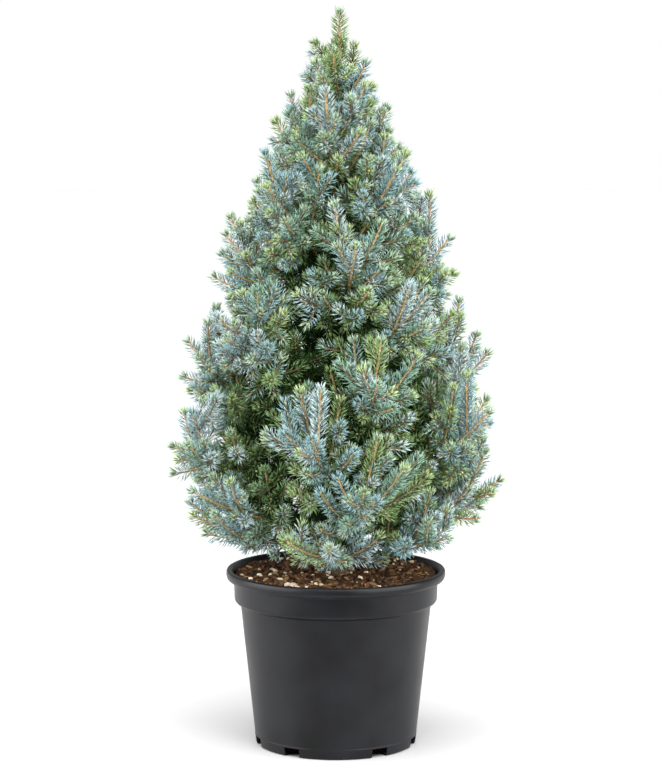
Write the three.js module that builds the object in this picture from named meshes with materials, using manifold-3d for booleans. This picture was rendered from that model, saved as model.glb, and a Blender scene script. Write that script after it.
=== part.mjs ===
// Potted white spruce: a young dwarf conifer with upswept blue-green shoots, in a black nursery pot.
// Millimetres, +Z up, -Y is the front. The origin is the middle of the pot's flat underside.
import * as THREE from "three";
import { mergeVertices } from "three/addons/utils/BufferGeometryUtils.js";
import Module from "manifold-3d";

const wasm = await Module();
wasm.setup();

// Driving sizes
const CLEARANCE = 0.3; // air between neighbouring pieces
const SEED = 45;

const POT = {
  height: 153,
  rimRadius: 95,
  rimDepth: 9, // height of the rolled lip
  rimWidth: 4.6, // from the lip's outside to the mouth
  rimRound: 2,
  collarRadius: 88.4,
  collarFoot: 123, // where the collar steps in to the body
  collarRound: 3.2,
  bodyRadius: 82.6, // just under the collar
  footRadius: 69.5,
  footRound: 2.8,
  wall: 1.6,
  floor: 2.6,
  segments: 44,
};
// Drain notches, at these degrees either side of the front and of the back
const NOTCH = { width: 15, height: 8, depth: 11, angles: [32.5, 73.5] };

const MEDIUM = {
  below: 7.5, // from the rim down to the surface at the wall
  mound: 3.5, // rise from the wall to the stem
  seat: 16, // flat round the stem
  lump: 1.2,
  rings: 3,
};
const GROUND = POT.height - MEDIUM.below + MEDIUM.mound;

const TRUNK = {
  foot: 7.4,
  flare: 4,
  flareHeight: 18,
  tip: 2.2,
  top: 516,
  lean: 3,
  sway: 2.5,
  sides: 8,
  steps: 11,
  crowding: 1.4, // rings closer together near the ground
};

// Outline of the crown: apex is where its sides would meet, above the tip of the top shoot
const CROWN = {
  top: 638,
  apex: 657,
  taper: 1.5,
  widest: 256, // height of its greatest radius
  radius: 150,
  foot: 166,
  footRadius: 60,
  rind: 2, // a shoot ends this far inside it
};

// One row per whorl of branches, from the skirt up: height of the branch foot on the trunk, height of
// its tip, its angle at the trunk, and the share of it that is bare limb
const WHORLS = [
  { count: 6, first: 30, foot: 172, tip: 198, launch: 0, limb: 0.28 },
  { count: 5, first: 0, foot: 186, tip: 230, launch: 4, limb: 0.28 },
  { count: 5, first: 54, foot: 210, tip: 284, launch: 14, limb: 0.28 },
  { count: 4, first: 8, foot: 244, tip: 340, launch: 24, limb: 0.28 },
  { count: 4, first: 45, foot: 290, tip: 396, launch: 32, limb: 0 },
  { count: 4, first: 5, foot: 346, tip: 446, launch: 38, limb: 0 },
  { count: 4, first: 45, foot: 408, tip: 502, launch: 44, limb: 0 },
  { count: 3, first: 30, foot: 468, tip: 558, launch: 46, limb: 0 },
];
const SWING = 24; // spread of the seeded angle, degrees
const WAVER = { tip: 36, foot: 10 }; // spread of the seeded heights
const ELBOW = 0.55; // share of the reach where a branch turns up
const LIMB = { thick: 2.7, thin: 1.9, sides: 6, steps: 2 };

// Side shoots that grow from buds along a stem
const SHOOT = {
  start: 10, // first bud, from the stem's foot
  step: 5.5, // from bud to bud
  last: 0.78, // share of the stem that has buds
  topLast: 0.5, // the same on the top shoot
  roll: 137.5, // degrees round the stem from bud to bud
  spread: 44, // degrees off the stem
  topSpread: 34, // the same on the top shoot
  rise: 0.36, // upward bend
  reach: 0.8, // share of the stem still ahead
  extra: 18,
  longest: 58,
  vary: 0.15,
  passes: [
    { apart: 22, shortest: 33 }, // widely spaced long ones first, then closer and shorter ones
    { apart: 16, shortest: 21 },
  ],
  fullSize: { radius: 100, least: 0.6 }, // nearer the top, where the crown is slimmer, both sizes shrink
  outer: 0.55, // a side shoot ends at least this share of the crown's radius out
  fan: 0.56, // distance kept from others on the same stem, as a share of the way out
  fromLimb: 7,
  fromGround: 13,
  bare: 9, // twig without needles at the root
  root: 1.3,
  thick: 5.8,
  thin: 3.4,
};

// Needles that stand out of every shoot
const NEEDLE = {
  length: 14,
  least: 0.8,
  lean: 58, // degrees off the shoot
  whorl: 15.2, // from whorl to whorl
  topWhorl: 10.6, // the same on the top shoot
  sides: 3,
  twist: 40,
  ownRoom: 0.8, // a tip is this much nearer its own shoot than any other
  air: 1.5,
};
const UP = new THREE.Vector3(0, 0, 1);

const FINISH = {
  pot: { color: 0x2b2c2f, roughness: 0.5, metalness: 0 },
  medium: { color: 0x3a2416, roughness: 0.95, metalness: 0 },
  bark: { color: 0x6a4a2c, roughness: 0.85, metalness: 0 },
  needles: { color: 0x6f8c8e, roughness: 0.6, metalness: 0 },
};

const radians = THREE.MathUtils.degToRad;
const lerp = THREE.MathUtils.lerp;
const clamp = THREE.MathUtils.clamp;
const atAngle = (degrees, radius, z) =>
  new THREE.Vector3(radius * Math.cos(radians(degrees)), radius * Math.sin(radians(degrees)), z);
const fromAxis = (point) => Math.hypot(point.x, point.y);
const spots = (count, make) => Array.from({ length: count }, (_, i) => make(i));

// Seeded numbers from 0 to 1
function randomFrom(seed) {
  let state = seed >>> 0;
  return () => {
    state = (state + 0x6d2b79f5) >>> 0;
    let t = Math.imul(state ^ (state >>> 15), state | 1);
    t ^= t + Math.imul(t ^ (t >>> 7), t | 61);
    return ((t ^ (t >>> 14)) >>> 0) / 4294967296;
  };
}

// A geometry with only positions becomes a closed solid
function solidOf(geometry) {
  const plain = new THREE.BufferGeometry();
  plain.setAttribute("position", geometry.getAttribute("position").clone());
  plain.setIndex(geometry.index.clone());
  const merged = mergeVertices(plain, 1e-4);
  const vertProperties = new Float32Array(merged.attributes.position.array);
  const triVerts = new Uint32Array(merged.index.array);
  return new wasm.Manifold(new wasm.Mesh({ numProp: 3, vertProperties, triVerts }));
}

// The outer shell of a solid as a geometry: scraps are dropped, and a hollow that joining sealed is filled
function geometryOf(solid) {
  const whole = solid.decompose().reduce((a, b) => (b.volume() > a.volume() ? b : a));
  const { vertProperties, triVerts } = whole.getMesh();
  const geometry = new THREE.BufferGeometry();
  geometry.setAttribute("position", new THREE.BufferAttribute(vertProperties, 3));
  geometry.setIndex(new THREE.BufferAttribute(triVerts, 1));
  const faceted = geometry.toNonIndexed();
  faceted.computeVertexNormals();
  return faceted;
}

function shellOf(positions, faces) {
  const geometry = new THREE.BufferGeometry();
  const places = positions.flatMap((point) => point.toArray());
  geometry.setAttribute("position", new THREE.Float32BufferAttribute(places, 3));
  geometry.setIndex(faces.flat());
  return geometry;
}

// Axes square to a path at each of its points, carried along it without twisting
function framesAlong(points) {
  let side = null;
  return points.map((point, i) => {
    const before = points[Math.max(i - 1, 0)];
    const after = points[Math.min(i + 1, points.length - 1)];
    const along = after.clone().sub(before).normalize();
    const hint = side ?? (Math.abs(along.z) < 0.9 ? UP.clone().cross(along) : new THREE.Vector3(1, 0, 0));
    side = hint.clone().addScaledVector(along, -hint.dot(along)).normalize();
    return { point, along, side, across: along.clone().cross(side) };
  });
}

// Direction square to a path, turned by an angle
function outwards({ side, across }, angle) {
  return side.clone().multiplyScalar(Math.cos(angle)).addScaledVector(across, Math.sin(angle));
}

function ringAt(frame, radius, sides, turn) {
  return spots(sides, (j) => {
    const out = outwards(frame, turn + (j / sides) * 2 * Math.PI);
    return frame.point.clone().addScaledVector(out, radius);
  });
}

// A tapering round limb with flat ends
function limbAlong(frames, radiusAt, sides) {
  const last = frames.length - 1;
  const positions = frames.flatMap((frame, i) => ringAt(frame, radiusAt(i / last), sides, 0));
  const faces = [];
  for (let i = 0; i < last; i++) {
    for (let j = 0; j < sides; j++) {
      const next = (j + 1) % sides;
      const [a, b, c, d] = [i * sides + j, i * sides + next, (i + 1) * sides + next, (i + 1) * sides + j];
      faces.push([a, b, c], [a, c, d]);
    }
  }
  const end = last * sides;
  for (let j = 1; j + 1 < sides; j++) faces.push([0, j + 1, j], [end, end + j, end + j + 1]);
  return shellOf(positions, faces);
}

// A shoot: bare twig at its root, then a slim three-sided core that ends in a point, with a needle on each
// facet that has room for one
function shootAlong(points, needleTip) {
  const { sides, twist } = NEEDLE;
  const rings = points.length - 1;
  const frames = framesAlong(points);
  const radiusAt = (i) => (i < 2 ? SHOOT.root : lerp(SHOOT.thick, SHOOT.thin, i / rings));
  const positions = frames
    .slice(0, rings)
    .flatMap((frame, i) => ringAt(frame, radiusAt(i), sides, radians(twist) * i));
  const end = positions.push(points[rings]) - 1;
  const faces = [[0, 2, 1]];
  for (let i = 0; i < rings; i++) {
    for (let j = 0; j < sides; j++) {
      const [a, b] = [i * sides + j, i * sides + ((j + 1) % sides)];
      if (i === rings - 1) {
        faces.push([a, b, end]);
        continue;
      }
      const [c, d] = [b + sides, a + sides];
      const middle = new THREE.Vector3();
      for (const corner of [a, b, c, d]) middle.addScaledVector(positions[corner], 1 / 4);
      const out = middle.clone().sub(frames[i].point.clone().lerp(frames[i + 1].point, 0.5)).normalize();
      const tip = i > 0 ? needleTip(middle, out, frames[i].along) : null;
      if (tip) {
        const apex = positions.push(tip) - 1;
        faces.push([a, b, apex], [b, c, apex], [c, d, apex], [d, a, apex]);
      } else {
        faces.push([a, b, c], [a, c, d]);
      }
    }
  }
  return shellOf(positions, faces);
}

function turned(profile, segments) {
  const points = profile.map(([radius, z]) => new THREE.Vector2(radius, z));
  return new THREE.LatheGeometry(points, segments).rotateX(Math.PI / 2);
}

// The pot's inner face from the lip down to the middle of the floor
function potInside(clearance) {
  const { height, rimDepth, collarFoot, collarRound, bodyRadius, footRadius, wall, floor } = POT;
  const neck = POT.collarRadius - wall;
  const face = [
    [neck, height - rimDepth],
    [neck, collarFoot + 3 * collarRound],
    [bodyRadius - wall, collarFoot + wall],
    [footRadius - wall, floor],
  ].map(([radius, z]) => [radius - clearance, Math.max(z, floor + clearance)]);
  return [...face, [0, floor + clearance]];
}

// Pot: one turned wall with a rolled lip, a collar and a flat floor, notched round its foot to drain
function pot() {
  const { height, rimRadius, rimDepth, rimWidth, rimRound, footRadius, footRound } = POT;
  const { collarRadius, collarFoot, collarRound, bodyRadius } = POT;
  const lip = height - rimDepth;
  const outside = [
    [0, 0],
    [footRadius - footRound, 0],
    [footRadius, footRound],
    [bodyRadius, collarFoot],
    [collarRadius - collarRound / 2, collarFoot + collarRound],
    [collarRadius, collarFoot + 3 * collarRound],
    [collarRadius, lip - rimRound],
    [rimRadius - rimRound, lip],
    [rimRadius, lip + rimRound],
    [rimRadius, height - rimRound],
    [rimRadius - rimRound, height],
    [rimRadius - rimWidth, height],
  ];
  let wall = solidOf(turned([...outside, ...potInside(0)], POT.segments));
  for (const angle of NOTCH.angles) {
    for (const turn of [angle, -angle, 180 + angle, 180 - angle]) {
      const cut = new THREE.BoxGeometry(NOTCH.width, 2 * NOTCH.depth, 2 * NOTCH.height);
      cut.translate(0, -footRadius, 0).rotateZ(radians(turn));
      wall = wall.subtract(solidOf(cut));
    }
  }
  return geometryOf(wall);
}

// Growing medium: fills the pot, with a lumpy surface that rises to a flat seat under the stem
function medium() {
  const edge = POT.height - MEDIUM.below;
  const wall = potInside(CLEARANCE).reverse().filter(([, z]) => z < edge);
  const radius = POT.collarRadius - POT.wall - CLEARANCE;
  const surface = spots(MEDIUM.rings + 1, (i) => {
    const share = i / MEDIUM.rings;
    return [lerp(radius, MEDIUM.seat, share), lerp(edge, GROUND, share)];
  });
  const body = turned([...wall, ...surface, [0, GROUND]], POT.segments / 2);
  const places = body.getAttribute("position");
  const random = randomFrom(SEED);
  const lumps = new Map();
  for (let i = 0; i < places.count; i++) {
    const place = new THREE.Vector3().fromBufferAttribute(places, i);
    const isEdge = place.z < edge + CLEARANCE;
    const isSeat = fromAxis(place) < MEDIUM.seat + CLEARANCE;
    if (isEdge || isSeat) continue;
    const key = place.toArray().map(Math.round).join();
    if (!lumps.has(key)) lumps.set(key, lerp(-MEDIUM.lump, MEDIUM.lump, random()));
    places.setZ(i, place.z + lumps.get(key));
  }
  return body;
}

// Trunk: leans and sways a little, tapers, and flares into the ground
function trunkAxis(z) {
  const share = (z - GROUND) / (TRUNK.top - GROUND);
  const sway = TRUNK.sway * Math.sin(2 * Math.PI * share);
  return new THREE.Vector3(TRUNK.lean * share + sway, -sway / 2, z);
}

function trunkRadius(z) {
  const share = (z - GROUND) / (TRUNK.top - GROUND);
  const flare = clamp(1 - (z - GROUND) / TRUNK.flareHeight, 0, 1);
  return lerp(TRUNK.foot, TRUNK.tip, share) + TRUNK.flare * flare ** 2;
}

// Its rings are level, so that it is cut flat at the ground
function trunkHeight(share) {
  return lerp(GROUND + CLEARANCE, TRUNK.top, share ** TRUNK.crowding);
}

function trunkSolid(grow) {
  const side = new THREE.Vector3(1, 0, 0);
  const across = new THREE.Vector3(0, 1, 0);
  const frames = spots(TRUNK.steps + 1, (i) => {
    return { point: trunkAxis(trunkHeight(i / TRUNK.steps)), side, across };
  });
  return solidOf(limbAlong(frames, (share) => trunkRadius(trunkHeight(share)) + grow, TRUNK.sides));
}

// Crown outline: the furthest that needles reach at a height
function crownRadius(z) {
  if (z > CROWN.widest) {
    const share = Math.min((z - CROWN.widest) / (CROWN.apex - CROWN.widest), 1);
    return CROWN.radius * (1 - share ** CROWN.taper);
  }
  const drop = Math.min((CROWN.widest - z) / (CROWN.widest - CROWN.foot), 1);
  return lerp(CROWN.footRadius, CROWN.radius, Math.sqrt(1 - drop * drop));
}

// Lowest height that foliage may have at a place: clear of the medium, and of the rim
function lowestAt(point) {
  const inMouth = fromAxis(point) < POT.rimRadius - 3 * POT.rimWidth;
  return (inMouth ? GROUND + MEDIUM.lump : POT.height) + NEEDLE.air;
}

// A branch leaves the trunk at its launch angle and sweeps up to its tip on the crown's outline
function branchCurve(whorl, index, random) {
  const azimuth = whorl.first + (360 / whorl.count) * index + SWING * (random() - 0.5);
  const height = whorl.tip + WAVER.tip * (random() - 0.5);
  const reach = crownRadius(height) - CROWN.rind;
  const foot = trunkAxis(whorl.foot + WAVER.foot * (random() - 0.5));
  const elbow = atAngle(azimuth, ELBOW * reach, foot.z + ELBOW * reach * Math.tan(radians(whorl.launch)));
  elbow.add(new THREE.Vector3(foot.x, foot.y, 0));
  return new THREE.QuadraticBezierCurve3(foot, elbow, atAngle(azimuth, reach, height));
}

function pointsAlong(curve, from, to, steps) {
  return spots(steps + 1, (i) => curve.getPoint(lerp(from, to, i / steps)));
}

function pathLength(points) {
  return points.slice(1).reduce((sum, point, i) => sum + point.distanceTo(points[i]), 0);
}

// All branches: each has a limb, or none higher up, and the stem of the mass that goes on from it
function branches() {
  const found = [];
  for (const whorl of WHORLS) {
    for (let k = 0; k < whorl.count; k++) {
      const number = found.length + 1;
      const random = randomFrom(SEED * 1000 + number);
      const curve = branchCurve(whorl, k, random);
      const name = String(number).padStart(2, "0");
      const length = curve.getLength();
      const limb = whorl.limb ? pointsAlong(curve, 0, whorl.limb, LIMB.steps) : null;
      const from = limb ? whorl.limb + CLEARANCE / length : 0;
      const steps = Math.round((length * (1 - from)) / NEEDLE.whorl);
      const stem = pointsAlong(curve, from, 1, steps);
      found.push({ name, limb, stem, random, spread: SHOOT.spread, last: SHOOT.last, onTrunk: !limb });
    }
  }
  const foot = trunkAxis(TRUNK.top + CLEARANCE);
  const tip = new THREE.Vector3(TRUNK.lean, 0, CROWN.top - CROWN.rind);
  const steps = Math.round(foot.distanceTo(tip) / NEEDLE.topWhorl);
  const stem = pointsAlong(new THREE.LineCurve3(foot, tip), 0, 1, steps);
  const random = randomFrom(SEED);
  const { topSpread: spread, topLast: last } = SHOOT;
  found.push({ name: "top", limb: null, stem, random, spread, last, onTrunk: false });
  return found;
}

function distanceToPath(point, path) {
  let least = Infinity;
  const line = new THREE.Line3();
  const near = new THREE.Vector3();
  for (let i = 0; i + 1 < path.length; i++) {
    line.set(path[i], path[i + 1]).closestPointToPoint(point, true, near);
    least = Math.min(least, near.distanceTo(point));
  }
  return least;
}

// Side shoots of one stem, as paths, before any is dropped for want of room
function sideShoots({ stem, spread, last, random }) {
  const length = pathLength(stem);
  const frames = framesAlong(stem);
  const first = 360 * random();
  const varied = (size) => size * (1 + SHOOT.vary * (2 * random() - 1));
  const count = Math.floor((last * length - SHOOT.start) / SHOOT.step) + 1;
  return spots(count, (k) => {
    const at = (SHOOT.start + SHOOT.step * k) / length;
    const frame = frames[Math.round(at * (stem.length - 1))];
    const angle = radians(varied(spread));
    const heading = frame.along.clone().multiplyScalar(Math.cos(angle));
    heading.addScaledVector(outwards(frame, radians(first + SHOOT.roll * k)), Math.sin(angle));
    const long = Math.min(varied(length * (1 - at) * SHOOT.reach + SHOOT.extra), SHOOT.longest);
    const steps = Math.max(2, Math.round((long - SHOOT.bare) / NEEDLE.whorl));
    const runs = [0, ...spots(steps + 1, (i) => lerp(SHOOT.bare, long, i / steps))];
    return runs.map((run) => {
      const bend = (SHOOT.rise * run * run) / long;
      return frame.point.clone().addScaledVector(heading, run).addScaledVector(UP, bend);
    });
  });
}

// The longest part of a path, from its root, that keeps inside the crown and clear of all else
function roomFor({ owner, path }, shoots, limbs, { apart, shortest }) {
  const sizeAt = (z) => clamp(crownRadius(z) / SHOOT.fullSize.radius, SHOOT.fullSize.least, 1);
  const isFree = (point, i) => {
    const inside = fromAxis(point) < crownRadius(point.z) - CROWN.rind && point.z < CROWN.top - CROWN.rind;
    const far = apart * sizeAt(point.z);
    const near = Math.min(far, SHOOT.fan * point.distanceTo(path[0]));
    return (
      inside &&
      point.z > lowestAt(point) + SHOOT.fromGround &&
      (i < 2 || limbs.every((limb) => distanceToPath(point, limb.path) > limb.radius + SHOOT.fromLimb)) &&
      shoots.every((other) => distanceToPath(point, other.path) > (other.owner === owner ? near : far))
    );
  };
  const stop = path.findIndex((point, i) => i > 0 && !isFree(point, i));
  const kept = stop < 0 ? path : path.slice(0, stop);
  const tip = kept[kept.length - 1];
  const outside = fromAxis(tip) > SHOOT.outer * crownRadius(tip.z);
  return outside && pathLength(kept) >= shortest * sizeAt(tip.z) ? kept : null;
}

// Stems first, then their side shoots bud by bud, each where it finds room
function growShoots(all, limbs) {
  const shoots = all.map((branch) => ({ owner: branch.name, path: branch.stem }));
  const budsOf = (branch) => sideShoots(branch).map((path, rank) => ({ owner: branch.name, path, rank }));
  const buds = all.flatMap(budsOf).sort((a, b) => a.rank - b.rank);
  const grown = new Set();
  for (const pass of SHOOT.passes) {
    for (const bud of buds) {
      const path = grown.has(bud) ? null : roomFor(bud, shoots, limbs, pass);
      if (!path) continue;
      grown.add(bud);
      shoots.push({ owner: bud.owner, path });
    }
  }
  return shoots;
}

// Where a needle ends, or nothing if its tip would be in another shoot's room, in a limb or in the ground
function needleTipFor(shoot, shoots, limbs, random) {
  const lean = radians(NEEDLE.lean);
  return (middle, out, along) => {
    const length = NEEDLE.length * lerp(NEEDLE.least, 1, random());
    const tip = middle.clone().addScaledVector(out, length * Math.sin(lean));
    tip.addScaledVector(along, length * Math.cos(lean));
    const own = distanceToPath(tip, shoot.path);
    const free =
      tip.z > lowestAt(tip) &&
      limbs.every((limb) => distanceToPath(tip, limb.path) > limb.radius + NEEDLE.air) &&
      shoots.every((other) => other === shoot || distanceToPath(tip, other.path) > own + NEEDLE.ownRoom);
    return free ? tip : null;
  };
}

// Mass of foliage: a stem and its side shoots joined into one, cut clear of the trunk that it stands on
function foliage(branch, shoots, limbs, trunkRoom) {
  const parts = shoots
    .filter((shoot) => shoot.owner === branch.name)
    .map((shoot) => solidOf(shootAlong(shoot.path, needleTipFor(shoot, shoots, limbs, branch.random))));
  const joined = wasm.Manifold.union(parts);
  return geometryOf(branch.onTrunk ? joined.subtract(trunkRoom) : joined);
}

// Bough: one tapering limb from the trunk to the foot of its mass
function bough(branch, trunkRoom) {
  const radiusAt = (share) => lerp(LIMB.thick, LIMB.thin, share);
  return geometryOf(solidOf(limbAlong(framesAlong(branch.limb), radiusAt, LIMB.sides)).subtract(trunkRoom));
}

function piece(name, geometry, finish) {
  const mesh = new THREE.Mesh(geometry, new THREE.MeshStandardMaterial(finish));
  mesh.name = name;
  return mesh;
}

function crown() {
  const group = new THREE.Group();
  const trunkRoom = trunkSolid(CLEARANCE);
  const trunkPath = spots(TRUNK.steps + 1, (i) => trunkAxis(trunkHeight(i / TRUNK.steps)));
  const grown = branches();
  const limbs = [{ path: trunkPath, radius: TRUNK.foot }];
  for (const { limb } of grown) if (limb) limbs.push({ path: limb, radius: LIMB.thick });
  const shoots = growShoots(grown, limbs);
  group.add(piece("trunk", geometryOf(trunkSolid(0)), FINISH.bark));
  for (const branch of grown) {
    if (branch.limb) group.add(piece(`bough_${branch.name}`, bough(branch, trunkRoom), FINISH.bark));
    group.add(piece(`foliage_${branch.name}`, foliage(branch, shoots, limbs, trunkRoom), FINISH.needles));
  }
  return group;
}

const plant = new THREE.Group();
plant.add(piece("pot", pot(), FINISH.pot));
plant.add(piece("growing_medium", medium(), FINISH.medium));
plant.add(crown());

export default plant;
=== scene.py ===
import math
from functools import lru_cache

import bpy
import numpy as np
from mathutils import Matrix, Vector, noise


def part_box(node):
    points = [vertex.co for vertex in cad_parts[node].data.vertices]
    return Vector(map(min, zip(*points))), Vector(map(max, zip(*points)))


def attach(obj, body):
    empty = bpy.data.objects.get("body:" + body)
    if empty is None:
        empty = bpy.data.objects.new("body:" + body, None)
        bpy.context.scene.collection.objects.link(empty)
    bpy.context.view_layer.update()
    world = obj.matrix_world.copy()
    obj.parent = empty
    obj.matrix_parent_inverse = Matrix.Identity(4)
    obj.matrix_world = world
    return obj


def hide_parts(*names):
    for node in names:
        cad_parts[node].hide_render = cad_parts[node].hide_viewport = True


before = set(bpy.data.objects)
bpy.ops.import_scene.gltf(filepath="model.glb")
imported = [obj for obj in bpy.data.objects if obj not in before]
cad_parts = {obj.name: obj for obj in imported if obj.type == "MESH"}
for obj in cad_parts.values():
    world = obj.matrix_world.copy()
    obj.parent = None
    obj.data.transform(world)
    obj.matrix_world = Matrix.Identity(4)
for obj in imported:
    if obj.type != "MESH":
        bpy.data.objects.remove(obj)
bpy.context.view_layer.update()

bl_info = {
    "name": "Potted white spruce",
    "version": (1, 0, 0),
    "blender": (4, 5, 0),
    "location": "View3D > Sidebar > Spruce",
    "description": "Grows a dwarf spruce in a nursery pot round its packed solids",
    "category": "Object",
}

MM = 0.001
ROOT = "root"
PIECE_TRIANGLES = 198000
UP = np.array([0.0, 0.0, 1.0])

NODES = sorted(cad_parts)
BOUGHS = [name for name in NODES if name.startswith("bough_")]
MASSES = [name for name in NODES if name.startswith("foliage_")]
POT_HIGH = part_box("pot")[1]

# The growing rule, in millimetres, with the sizes of the part's source
CLEARANCE = 0.3
POT = {
    "height": POT_HIGH[2] / MM,
    "rim_radius": POT_HIGH[0] / MM,
    "rim_depth": 9,
    "rim_width": 4.6,
    "collar_radius": 88.4,
    "collar_foot": 123,
    "body_radius": 82.6,
    "foot_radius": 69.5,
    "wall": 1.6,
    "floor": 2.6,
}
NECK = POT["collar_radius"] - POT["wall"]
NOTCH = {"width": 15, "height": 8, "depth": 11, "angles": (32.5, 73.5)}
BED = {"below": 7.5, "mound": 3.5, "seat": 16, "lump": 1.2}
GROUND = POT["height"] - BED["below"] + BED["mound"]
TRUNK = {
    "foot": 7.4, "flare": 4, "flare_height": 18, "tip": 2.2, "top": 516,
    "lean": 3, "sway": 2.5, "steps": 11, "crowding": 1.4,
}
CROWN = {
    "top": 638, "apex": 657, "taper": 1.5, "widest": 256, "radius": 150,
    "foot": 166, "foot_radius": 60, "rind": 2,
}
WHORLS = [
    dict(zip(("count", "first", "foot", "tip", "launch", "limb"), row))
    for row in (
        (6, 30, 172, 198, 0, 0.28),
        (5, 0, 186, 230, 4, 0.28),
        (5, 54, 210, 284, 14, 0.28),
        (4, 8, 244, 340, 24, 0.28),
        (4, 45, 290, 396, 32, 0),
        (4, 5, 346, 446, 38, 0),
        (4, 45, 408, 502, 44, 0),
        (3, 30, 468, 558, 46, 0),
    )
]
SWING = 24
WAVER = {"tip": 36, "foot": 10}
ELBOW = 0.55
LIMB = {"thick": 2.7, "thin": 1.9, "steps": 2}
WHORL_STEP = {"branch": 15.2, "top": 10.6}
NEEDLE_AIR = 1.5
GOLDEN_TURN = 137.5
SHOOT = {
    "start": 10, "step": 5.5, "last": 0.78, "top_last": 0.5, "spread": 44, "top_spread": 34, "rise": 0.36,
    "reach": 0.8, "extra": 18, "longest": 58, "vary": 0.15, "bare": 9, "ring": 15.2,
    "passes": ((22, 33), (16, 21)), "least": 0.6, "outer": 0.55, "fan": 0.56,
    "from_limb": 7, "from_ground": 13, "within": 1.0,
}
# Finer twigs that the solids leave out, grown on from every shoot by the same rule
TWIG = {
    "start": 6, "step": 3.6, "last": 0.64, "top_last": 0.74, "spread": 44, "rise": 0.36,
    "reach": 0.8, "extra": 13, "longest": 58, "vary": 0.2, "bare": 4, "ring": 9,
    "passes": ((19, 24), (14, 17), (11.8, 14)), "least": 1.0, "outer": 0.5, "fan": 0.6,
    "from_limb": 3, "from_ground": 3, "within": 0.88,
}
# Short shaded twigs that fill the inside, on the stem and the boughs too
INNER = {
    **TWIG, "start": 10, "step": 6, "spread": 62, "reach": 0.5, "extra": 24, "longest": 60, "outer": 0.0,
    "passes": ((15, 17), (11, 11), (8.5, 9)), "from_limb": -LIMB["thick"], "from_ground": 4, "within": 0.85,
}
FULL_SIZE_RADIUS = 100
LONGEST_STRETCH = 20
SMOOTH_STEPS = 60
LENGTH_STEPS = 200
BUD_STEP = 3
TWIG_SEED = 7919
INNER_SEED = 6007


def unit(v):
    return v / np.linalg.norm(v, axis=-1, keepdims=True)


def lerp(a, b, share):
    return a + (b - a) * share


def clamp(value, low, high):
    return min(max(value, low), high)


def nearest(value):
    return math.floor(value + 0.5)


def turns_of(count):
    return np.arange(count) / count * 2 * np.pi


def from_axis(points):
    return np.hypot(points[..., 0], points[..., 1])


def at_angle(degrees, radius, z):
    turn = math.radians(degrees)
    return np.array([radius * math.cos(turn), radius * math.sin(turn), z])


def random_from(seed):
    """Seeded numbers from 0 to 1, the same as in the part's source."""
    state = seed & 0xFFFFFFFF

    def draw():
        nonlocal state
        state = (state + 0x6D2B79F5) & 0xFFFFFFFF
        t = ((state ^ (state >> 15)) * (state | 1)) & 0xFFFFFFFF
        t ^= (t + (t ^ (t >> 7)) * (t | 61)) & 0xFFFFFFFF
        return ((t ^ (t >> 14)) & 0xFFFFFFFF) / 4294967296

    return draw


def frames_along(points):
    """Axes square to a path at each of its points, carried along it without twisting."""
    side = None
    frames = []
    last = len(points) - 1
    for i, point in enumerate(points):
        along = unit(points[min(i + 1, last)] - points[max(i - 1, 0)])
        if side is None:
            side = np.cross(UP, along) if abs(along[2]) < 0.9 else np.array([1.0, 0.0, 0.0])
        side = unit(side - along * np.dot(side, along))
        frames.append((point, along, side, np.cross(along, side)))
    return frames


def trunk_axis(z):
    share = (z - GROUND) / (TRUNK["top"] - GROUND)
    sway = TRUNK["sway"] * math.sin(2 * math.pi * share)
    return np.array([TRUNK["lean"] * share + sway, -sway / 2, z])


def trunk_radius(z):
    share = (z - GROUND) / (TRUNK["top"] - GROUND)
    flare = clamp(1 - (z - GROUND) / TRUNK["flare_height"], 0, 1)
    return lerp(TRUNK["foot"], TRUNK["tip"], share) + TRUNK["flare"] * flare**2


def trunk_height(share):
    return lerp(GROUND + CLEARANCE, TRUNK["top"], share ** TRUNK["crowding"])


def crown_radius(z):
    """The furthest that needles reach at each height."""
    z = np.asarray(z, dtype=float)
    up = np.clip((z - CROWN["widest"]) / (CROWN["apex"] - CROWN["widest"]), 0, 1)
    down = np.clip((CROWN["widest"] - z) / (CROWN["widest"] - CROWN["foot"]), 0, 1)
    lower = lerp(CROWN["foot_radius"], CROWN["radius"], np.sqrt(1 - down * down))
    return np.where(z > CROWN["widest"], CROWN["radius"] * (1 - up ** CROWN["taper"]), lower)


def lowest_at(points):
    """Lowest height that foliage may have at a place: clear of the medium, and of the rim."""
    in_mouth = from_axis(points) < POT["rim_radius"] - 3 * POT["rim_width"]
    return np.where(in_mouth, GROUND + BED["lump"], POT["height"]) + NEEDLE_AIR


def branch_points(whorl, index, random):
    """Foot, elbow and tip of a branch."""
    azimuth = whorl["first"] + 360 / whorl["count"] * index + SWING * (random() - 0.5)
    height = whorl["tip"] + WAVER["tip"] * (random() - 0.5)
    reach = crown_radius(height) - CROWN["rind"]
    foot = trunk_axis(whorl["foot"] + WAVER["foot"] * (random() - 0.5))
    rise = ELBOW * reach * math.tan(math.radians(whorl["launch"]))
    elbow = at_angle(azimuth, ELBOW * reach, foot[2] + rise) + np.array([foot[0], foot[1], 0])
    return foot, elbow, at_angle(azimuth, reach, height)


def curve_points(controls, start, end, steps):
    t = np.linspace(start, end, steps + 1)[:, None]
    foot, elbow, tip = controls
    return (1 - t) ** 2 * foot + 2 * (1 - t) * t * elbow + t**2 * tip


def path_length(points):
    return float(np.linalg.norm(np.diff(points, axis=0), axis=1).sum())


def branch_of(stem, smooth, random, rule, limb=None, share=0):
    return {"stem": stem, "smooth": smooth, "random": random, "rule": rule, "limb": limb, "share": share}


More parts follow.
